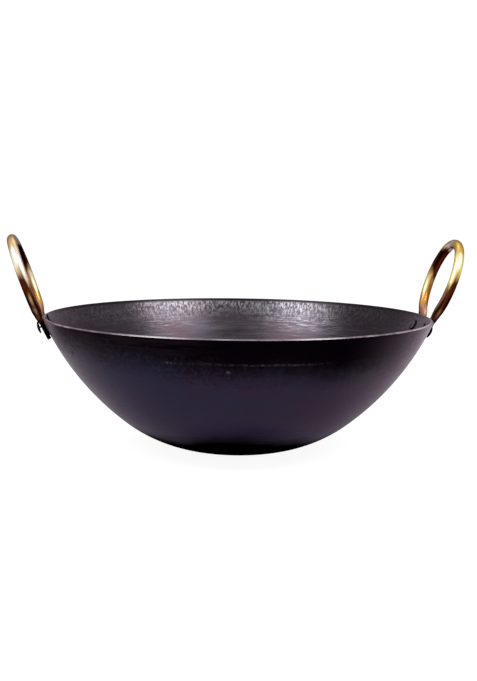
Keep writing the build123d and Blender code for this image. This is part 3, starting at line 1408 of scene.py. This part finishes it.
    def build(self) -> Mesh:
        """Draws the bar section by section from the crown to one lug, and mirrors it.

        Returns:
            The closed bar.
        """
        mesh = bmesh.new()
        layer = mesh.verts.layers.float_vector.new(STRAIGHT_BAR)
        ring = bmesh.ops.create_circle(mesh, segments=self.sides, radius=self.bar_radius)["verts"]
        angles = {vertex: math.atan2(vertex.co.y, vertex.co.x) for vertex in ring}
        ordered = sorted(ring, key=lambda vertex: angles[vertex])
        turns = [angles[vertex] for vertex in ordered]
        crown, *others = self.stations()
        self._place_section(ordered, turns, crown, layer)
        edges = mesh.edges[:]
        for station in others:
            grown = bmesh.ops.extrude_edge_only(mesh, edges=edges)["geom"]
            fresh = {item for item in grown if isinstance(item, bmesh.types.BMVert)}
            edges = [item for item in grown
                     if isinstance(item, bmesh.types.BMEdge) and fresh.issuperset(item.verts)]
            ordered = self._match(ordered, fresh)
            self._place_section(ordered, turns, station, layer)
        cap = bmesh.ops.contextual_create(mesh, geom=edges)["faces"]
        bmesh.ops.inset_region(mesh, faces=cap, thickness=self.edge_round, depth=self.edge_round / 2)
        self._seat(mesh)
        bmesh.ops.mirror(mesh, geom=mesh.verts[:] + mesh.edges[:] + mesh.faces[:], matrix=Matrix.Identity(4),
                         merge_dist=self.mirror_gap, axis="Y")
        bmesh.ops.remove_doubles(mesh, verts=mesh.verts, dist=self.seam_gap)
        bmesh.ops.recalc_face_normals(mesh, faces=mesh.faces)
        if self.side is Side.LEFT:
            bmesh.ops.rotate(mesh, cent=ORIGIN, matrix=Matrix.Rotation(math.pi, 3, "Z"), verts=mesh.verts)
        return mesh

    @staticmethod
    def _match(ordered: list[bmesh.types.BMVert], fresh: set[bmesh.types.BMVert]) -> list[bmesh.types.BMVert]:
        """New vertices in the order of the ones that they were extruded from.

        Args:
            ordered: the loop that was extruded.
            fresh: the new vertices.

        Returns:
            The new loop.
        """
        around = [[edge.other_vert(vertex) for edge in vertex.link_edges] for vertex in ordered]
        return [next(other for other in others if other in fresh) for others in around]

    def _place_section(self, ordered: list[bmesh.types.BMVert], turns: list[float], station: BarStation,
                       layer: Any) -> None:
        """Moves a loop of vertices onto a section of the bar.

        Args:
            ordered: the loop.
            turns: the angle of each vertex round the section.
            station: the section.
            layer: the layer that keeps each vertex's place on the straightened bar.
        """
        power = 2 / station.power
        for vertex, turn in zip(ordered, turns):
            cosine, sine = math.cos(turn), math.sin(turn)
            wide = math.copysign(abs(cosine) ** power, cosine) * station.half_width
            thick = math.copysign(abs(sine) ** power, sine) * station.half_thickness
            vertex.co = station.origin + station.across * wide + station.off * thick
            vertex[layer] = Vector((wide, thick, station.distance))

    def _seat(self, mesh: Mesh) -> None:
        """Moves what would lie inside the wall or the rim out to the wall's face.

        Args:
            mesh: the bar, drawn to one lug.
        """
        profile = self.profile
        _, normal = profile.on_wall(0, 0)
        slope = normal.x / normal.y
        top = profile.rim_height - profile.sheet * normal.y
        for vertex in mesh.verts:
            flat = level(vertex.co)
            height = vertex.co.z
            if height <= profile.rim_height:
                limit = profile.wall_radius(height) + self.lug.clearance
            elif height <= top:
                limit = profile.rim_radius + self.lug.clearance + (height - profile.rim_height) * slope
            else:
                continue
            if flat.length < limit:
                vertex.co += flat.normalized() * (limit - flat.length)

    def dress(self, brass: bpy.types.Material) -> bpy.types.Object:
        """Makes the piece in brass."""
        side = self.side.name.lower()
        return finish_piece(self.build(), side + "_ring_bar", Slot.BRASS, side + "_handle", [brass])


def hermite(start: Vector, leave: Vector, end: Vector, arrive: Vector, share: float) -> tuple[Vector, Vector]:
    """A point of the smooth curve between two points with given directions.

    Args:
        start: first point.
        leave: direction and reach there.
        end: last point.
        arrive: direction and reach there.
        share: place along the curve, from 0 to 1.

    Returns:
        The point and the unit tangent.
    """
    square, cube = share**2, share**3
    point = (start * (2 * cube - 3 * square + 1) + leave * (cube - 2 * square + share)
             + end * (3 * square - 2 * cube) + arrive * (cube - square))
    slope = (start * (6 * square - 6 * share) + leave * (3 * square - 4 * share + 1)
             + end * (6 * share - 6 * square) + arrive * (3 * square - 2 * share))
    return point, slope.normalized()


@dataclass(frozen=True)
class OuterHead:
    """How a rivet's outer head sits: its height, and how far it has lifted and tipped off the lug."""

    height: float
    lifted: float = 0.0
    tipped: float = 0.0
    neck_radius: float = 2.5 * MM


@dataclass
class Rivet:
    """A rivet through one lug and the wall: domed outside, flatter inside."""

    side: Side
    row: Row
    drop: float
    head: OuterHead
    profile: SheetProfile = SheetProfile()
    lug: LugSeat = LugSeat()
    shank_radius: float = 2.5 * MM
    outer_radius: float = 4.6 * MM
    inner_radius: float = 4.5 * MM
    inner_height: float = 1.3 * MM
    edge_share: float = 0.45
    steps_dome: int = 7
    steps_round: int = 40
    dent: float = 0.12 * MM
    dent_scale: float = 420.0
    dent_margin: float = 0.375 * MM

    def _dome(self, radius: float, seat: float, height: float) -> list[Vector]:
        """Points of a head's outline from its middle to its seat at the shank.

        Args:
            radius: the head's radius.
            seat: distance of its flat side from the wall's outer face.
            height: its height over that side.

        Returns:
            The points, with x out from the shank's axis.
        """
        edge = height * self.edge_share
        cap = height - edge
        curve = (radius**2 + cap**2) / (2 * cap)
        span = math.asin(radius / curve)
        points = []
        for step in range(self.steps_dome + 1):
            angle = span * step / self.steps_dome
            points.append(Vector((curve * math.sin(angle), seat + height - curve * (1 - math.cos(angle)))))
        points.append(Vector((radius, seat)))
        return points

    def _outline(self) -> list[Vector]:
        """The whole outline, from the middle of the outer head round the shank to the inner one's.

        Returns:
            Its points, with x out from the shank's axis and y away from the wall.
        """
        clearance = self.lug.clearance
        seat = self.lug.thickness + 2 * clearance + self.head.lifted
        face = self.lug.thickness + clearance
        inner_seat = self.profile.sheet + 2 * clearance
        outer = self._dome(self.outer_radius, seat, self.head.height)
        neck = [Vector((self.head.neck_radius, seat)), Vector((self.head.neck_radius, face)),
                Vector((self.shank_radius, face - clearance)), Vector((self.shank_radius, -inner_seat))]
        inner = self._dome(self.inner_radius, inner_seat, self.inner_height)
        return outer + neck + [Vector((point.x, -point.y)) for point in reversed(inner)]

    def build(self) -> Mesh:
        """Spins the outline round the shank, works the heads over and sets the rivet in the wall.

        Returns:
            The closed rivet.
        """
        mesh = bmesh.new()
        line = [mesh.verts.new((point.x, 0, point.y)) for point in self._outline()]
        for first, second in zip(line, line[1:]):
            mesh.edges.new((first, second))
        spin_full(mesh, self.steps_round)
        self._mark(mesh)
        turn = self.lug.azimuth(self.profile) * self.row.value
        azimuth = turn if self.side is Side.RIGHT else math.pi - turn
        self._hammer(mesh, azimuth)
        self._loosen(mesh)
        place = wall_place(self.profile, azimuth, self.drop, 0)
        matrix = Matrix((place.around, place.up, place.out)).transposed().to_4x4()
        matrix.translation = place.origin
        bmesh.ops.transform(mesh, matrix=matrix, verts=mesh.verts)
        return mesh

    def _mark(self, mesh: Mesh) -> None:
        """Keeps how far out on its head each vertex is, and gives the inner head its own material.

        Args:
            mesh: the spun rivet.
        """
        layer = mesh.verts.layers.float.new(HEAD_SPREAD)
        for vertex in mesh.verts:
            vertex[layer] = level(vertex.co).length / self.outer_radius
        for face in mesh.faces:
            face.material_index = Head.OUTER.value if face.calc_center_median().z > 0 else Head.INNER.value

    def _hammer(self, mesh: Mesh, seed: float) -> None:
        """Flattens the heads unevenly, inwards only, as hammer blows do.

        Args:
            mesh: the spun rivet.
            seed: moves the pattern of the dents.
        """
        shift = Vector((seed, seed, seed))
        smooth = self.profile.sheet + self.dent_margin
        for vertex in mesh.verts:
            sink = uneven(vertex.co * self.dent_scale + shift) * self.dent
            flat = level(vertex.co)
            if abs(vertex.co.z) > smooth:
                vertex.co.z -= math.copysign(sink, vertex.co.z) / 2
                vertex.co -= flat * (sink / self.outer_radius)

    def _loosen(self, mesh: Mesh) -> None:
        """Tips the outer head about its upper edge, so that its lower edge stands off the lug.

        Args:
            mesh: the spun rivet.
        """
        seat = self.lug.thickness + self.lug.clearance + self.head.lifted
        head = [vertex for vertex in mesh.verts if vertex.co.z > seat]
        pivot = (0, self.outer_radius, seat)
        bmesh.ops.rotate(mesh, cent=pivot, matrix=Matrix.Rotation(-self.head.tipped, 3, "X"), verts=head)

    def dress(self, materials: list[bpy.types.Material]) -> bpy.types.Object:
        """Makes the piece in blackened iron."""
        name = self.side.name.lower() + "_" + self.row.name.lower() + "_rivet"
        return finish_piece(self.build(), name + "_head", Slot.RIVET, name, materials)


@dataclass
class Studio:
    """The pale floor, the soft lights and the camera at the photograph's viewing angle."""

    image_width: float = 477.0
    image_height: float = 681.0
    axis_x: float = 237.83
    axis_y: float = 316.59
    focal_pixels: float = 1227.3
    sensor: float = 36.0
    distance: float = 0.950
    elevation: float = math.radians(6.07)
    azimuth: float = math.radians(-6.73)
    roll: float = math.radians(0.7)
    target: Vector = field(default_factory=lambda: UP * (101.8 * MM))
    floor_half: float = 12.0
    floor_tone: float = 0.24
    box_width: float = 0.80
    box_height: float = 0.70
    box_distance: float = 1.5
    box_power: float = 14.0
    box_elevation: float = math.radians(50.0)
    box_turn: float = math.radians(58.0)
    back_share: float = 0.15
    back_elevation: float = math.radians(58.0)
    fill_level: float = 0.30
    nearest: float = 0.05
    farthest: float = 100.0

    def _aim(self, azimuth: float, elevation: float, distance: float) -> Matrix:
        """Stands something off from the object, turned toward it.

        Args:
            azimuth: its azimuth from the front, toward the right.
            elevation: its elevation.
            distance: how far off it stands.

        Returns:
            Its place and turn.
        """
        back = Vector((math.sin(azimuth) * math.cos(elevation), -math.cos(azimuth) * math.cos(elevation),
                       math.sin(elevation)))
        turn = back.to_track_quat("Z", "Y").to_matrix().to_4x4()
        return Matrix.Translation(self.target + back * distance) @ turn

    def set_camera(self) -> None:
        """Puts the camera where the photograph was taken."""
        data = bpy.data.cameras.new("photo_camera")
        data.sensor_fit = "VERTICAL"
        data.sensor_height = self.sensor
        data.lens = self.focal_pixels / self.image_height * self.sensor
        data.shift_x = (self.image_width / 2 - self.axis_x) / self.image_height
        data.shift_y = (self.axis_y - self.image_height / 2) / self.image_height
        data.clip_start = self.nearest
        data.clip_end = self.farthest
        camera = link_new("photo_camera", data)
        place = self._aim(self.azimuth, self.elevation, self.distance)
        camera.matrix_world = place @ Matrix.Rotation(self.roll, 4, "Z")
        bpy.context.scene.camera = camera

    def set_lights(self) -> None:
        """Hangs two soft boxes in front, left and right, and one behind."""
        places = (("left_box", self.azimuth - self.box_turn, self.box_elevation, self.box_power),
                  ("right_box", self.azimuth + self.box_turn, self.box_elevation, self.box_power),
                  ("back_box", self.azimuth + math.pi, self.back_elevation, self.box_power * self.back_share))
        for name, azimuth, elevation, power in places:
            data = bpy.data.lights.new(name, "AREA")
            data.shape = "RECTANGLE"
            data.size = self.box_width
            data.size_y = self.box_height
            data.energy = power
            link_new(name, data).matrix_world = self._aim(azimuth, elevation, self.box_distance)

    def set_world(self) -> None:
        """White behind the object, a plainer level for the light on it."""
        world = bpy.data.worlds.new("studio_world")
        world.use_nodes = True
        bpy.context.scene.world = world
        bench = Bench(world.node_tree)
        strength = shown_share(bench) * (1.0 - self.fill_level) + self.fill_level
        background = bench.add("ShaderNodeBackground", {}, {"Color": grey(1.0), "Strength": strength})
        bench.add("ShaderNodeOutputWorld", {}, {"Surface": background})

    def set_floor(self) -> None:
        """Lays a wide floor, white where nothing shades it, that keeps the object's shadow."""
        mesh = bmesh.new()
        bmesh.ops.create_grid(mesh, x_segments=1, y_segments=1, size=self.floor_half)
        floor = link_mesh("studio_floor", mesh)
        material = new_material("studio_floor")
        bench = Bench(material.node_tree)
        lift = grey(1.0 - self.floor_tone * self.fill_level)
        glow = bench.coats(grey(0.0), (shown_share(bench), lift))
        bench.surface({"Base Color": grey(self.floor_tone), "Roughness": 1.0, "Emission Color": glow,
                       "Emission Strength": 1.0})
        floor.data.materials.append(material)

    def build(self) -> None:
        """Sets up everything that isn't the object."""
        self.set_camera()
        self.set_lights()
        self.set_world()
        self.set_floor()
        bpy.context.scene.view_settings.view_transform = "Standard"


def shown_share(bench: Bench) -> Signal:
    """Tells the rays that show the background: from the camera, off metal and through glass.

    Args:
        bench: the nodes of the floor or the world.

    Returns:
        1 for those rays, and 0 for the others.
    """
    rays = bench.add("ShaderNodeLightPath", {}, {}).socket.node.outputs
    camera, glossy, through = rays["Is Camera Ray"], rays["Is Glossy Ray"], rays["Is Transmission Ray"]
    return (Signal(bench, camera) + Signal(bench, glossy) + Signal(bench, through)).at_most(1.0)


@dataclass(frozen=True)
class HandlePlan:
    """What differs from one handle to the other."""

    side: Side
    ring_height: float
    rivet_drop: float
    front_head: OuterHead
    rear_head: OuterHead
    brass: BrassFinish


def build_pieces(report: Callable[[str], None]) -> list[bpy.types.Object]:
    """Builds and dresses every piece of the kadai.

    Args:
        report: takes one line for each sub-assembly.

    Returns:
        The pieces.
    """
    pieces = [Bowl().dress()]
    report("bowl done")
    outer = RivetFinish(
        name="rivet_outer_head", iron=rgb(0.010, 0.008, 0.010), rubbed=rgb(0.060, 0.052, 0.056))
    inner = RivetFinish(
        name="rivet_inner_head", iron=rgb(0.085, 0.066, 0.077), rubbed=rgb(0.110, 0.095, 0.100))
    heads = [outer.make(), inner.make()]
    seated = OuterHead(height=2.1 * MM)
    lifted = OuterHead(height=2.0 * MM, lifted=0.1 * MM, tipped=math.radians(9.5), neck_radius=0.6 * MM)
    right_brass = BrassFinish(
        name="brass_bar_right", gold=rgb(0.60, 0.39, 0.12), pale=rgb(0.82, 0.68, 0.30),
        foot=rgb(0.095, 0.047, 0.040), worn_low=0.0, blush=0.0, warmth=0.85,
        painted_dark_streak_face=Rise(-0.15, 0.40, 0.88))
    left_brass = BrassFinish(
        name="brass_bar_left", gold=rgb(0.62, 0.44, 0.25), pale=rgb(0.86, 0.79, 0.61),
        foot=rgb(0.08, 0.034, 0.013), worn_low=0.9, blush=0.9, warmth=0.55,
        painted_dark_streak_face=Rise(0.05, 0.60, 0.88))
    plans = (HandlePlan(side=Side.RIGHT, ring_height=60.8 * MM, rivet_drop=10.0 * MM, front_head=seated,
                        rear_head=seated, brass=right_brass),
             HandlePlan(side=Side.LEFT, ring_height=62.6 * MM, rivet_drop=5.2 * MM, front_head=lifted,
                        rear_head=seated, brass=left_brass))
    for plan in plans:
        pieces.append(RingHandle(plan.side, plan.ring_height).dress(plan.brass.make()))
        for row, head in ((Row.FRONT, plan.front_head), (Row.REAR, plan.rear_head)):
            pieces.append(Rivet(plan.side, row, plan.rivet_drop, head).dress(heads))
        report(plan.side.name.lower() + " handle done")
    return pieces


def main() -> None:
    """Builds the studio and the kadai."""
    logging.basicConfig(level=logging.INFO, format="%(name)s: %(message)s")
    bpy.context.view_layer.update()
    Studio().build()
    pieces = build_pieces(LOG.info)
    LOG.info("%d pieces", len(pieces))
    bpy.context.view_layer.update()


if __name__ == "__main__":
    main()
